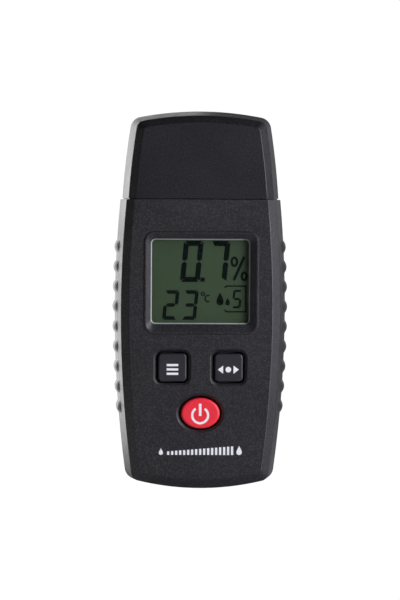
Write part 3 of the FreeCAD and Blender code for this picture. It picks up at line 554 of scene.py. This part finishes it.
def face_plane():
    """y of the case's face: the forward-facing plane with most of the front shell's area."""
    facing_front = -0.999
    mesh = frame["nodes"]["front_shell"].data
    area = {}
    for polygon in mesh.polygons:
        if polygon.normal.y < facing_front:
            level = round(polygon.center.y, 5)
            area[level] = area.get(level, 0.0) + polygon.area
    return max(area, key=area.get)


# ---- Studio -------------------------------------------------------------------------------------

def floor():
    """A wide pale floor that lights the object from below and looks plain white."""
    reach = 6.0
    mesh = bpy.data.meshes.new("floor")
    bm = bmesh.new()
    corners = ((-reach, -reach), (reach, -reach), (reach, reach), (-reach, reach))
    bm.faces.new([bm.verts.new((x, y, 0)) for x, y in corners])
    bm.to_mesh(mesh)
    bm.free()
    plane = bpy.data.objects.new("floor", mesh)
    bpy.context.collection.objects.link(plane)
    material, nodes, links, output = new_material("floor")
    seen = nodes.new("ShaderNodeLightPath")
    matt = nodes.new("ShaderNodeBsdfDiffuse")
    matt.inputs["Color"].default_value = (0.7, 0.7, 0.7, 1)
    bright = nodes.new("ShaderNodeEmission")
    bright.inputs["Strength"].default_value = STUDIO_WHITE
    mix = nodes.new("ShaderNodeMixShader")
    links.new(seen.outputs["Is Camera Ray"], mix.inputs["Fac"])
    links.new(matt.outputs[0], mix.inputs[1])
    links.new(bright.outputs[0], mix.inputs[2])
    links.new(mix.outputs[0], output.inputs["Surface"])
    mesh.materials.append(material)


def world():
    """A low bright backdrop behind, dim elsewhere, and plain white where it is looked at."""
    dimmest = 0.07
    studio = bpy.data.worlds.new("studio")
    studio.use_nodes = True
    nodes, links = studio.node_tree.nodes, studio.node_tree.links
    nodes.clear()
    place = nodes.new("ShaderNodeTexCoord")
    split = nodes.new("ShaderNodeSeparateXYZ")
    links.new(place.outputs["Generated"], split.inputs[0])
    behind = spread(nodes, links, split.outputs["Y"], 0.0, 1.0, 0.15, 0.6)
    low = spread(nodes, links, split.outputs["Z"], 0.5, 0.12, 0.08, 0.30)
    backdrop = nodes.new("ShaderNodeMath")
    backdrop.operation = "MULTIPLY_ADD"
    links.new(behind, backdrop.inputs[0])
    links.new(low, backdrop.inputs[1])
    backdrop.inputs[2].default_value = dimmest
    lit = nodes.new("ShaderNodeBackground")
    lit.inputs["Color"].default_value = (1, 1, 1, 1)
    links.new(backdrop.outputs[0], lit.inputs["Strength"])
    plain = nodes.new("ShaderNodeBackground")
    plain.inputs["Color"].default_value = (1, 1, 1, 1)
    plain.inputs["Strength"].default_value = STUDIO_WHITE
    mix = nodes.new("ShaderNodeMixShader")
    links.new(nodes.new("ShaderNodeLightPath").outputs["Is Camera Ray"], mix.inputs["Fac"])
    links.new(lit.outputs[0], mix.inputs[1])
    links.new(plain.outputs[0], mix.inputs[2])
    links.new(mix.outputs[0], nodes.new("ShaderNodeOutputWorld").inputs["Surface"])
    bpy.context.scene.world = studio


def softbox(name, place, size, watts, colour, target):
    """A rectangular area light at a place, turned towards a target and not seen itself."""
    light = bpy.data.lights.new(name, "AREA")
    light.shape = "RECTANGLE"
    light.size, light.size_y = size
    light.energy = watts
    light.color = colour
    lamp = bpy.data.objects.new(name, light)
    lamp.location = place
    lamp.rotation_euler = (Vector(target) - Vector(place)).to_track_quat("-Z", "Y").to_euler()
    lamp.visible_camera = False
    bpy.context.collection.objects.link(lamp)


def camera():
    """Long lens at eye level, a little to the left of the object and a little above its middle."""
    distance, sensor = 1.20, 36
    frame_height = 1.597 * HEIGHT      # height of the picture at the object
    left, above, roll = math.radians(1.75), math.radians(2.0), math.radians(0.32)
    target = Vector((0.04 * MM, 0, HEIGHT / 2 - 0.14 * MM))
    ahead = -math.cos(left) * math.cos(above)
    away = Vector((-math.sin(left) * math.cos(above), ahead, math.sin(above)))
    data = bpy.data.cameras.new("camera")
    data.sensor_width = sensor
    data.lens = sensor * distance / frame_height
    viewer = bpy.data.objects.new("camera", data)
    viewer.location = target + away * distance
    turn = (-away).to_track_quat("-Z", "Y")
    viewer.rotation_euler = (turn.to_matrix() @ Matrix.Rotation(roll, 3, "Z")).to_euler()
    bpy.context.collection.objects.link(viewer)
    bpy.context.scene.camera = viewer


dress_nodes(make_materials())
display_readout()
key_icons()
moisture_scale()
floor()
world()
softbox("right", (0.53, -0.42, 0.13), (0.42, 0.70), 8.6, (0.92, 0.91, 1.0), (0, 0, HEIGHT / 2))
softbox("back_left", (-0.195, 0.13, 0.095), (0.40, 0.19), 0.70, (1, 1, 1), (-0.195, 0, 0.095))
camera()
bpy.context.scene.view_settings.view_transform = "Standard"
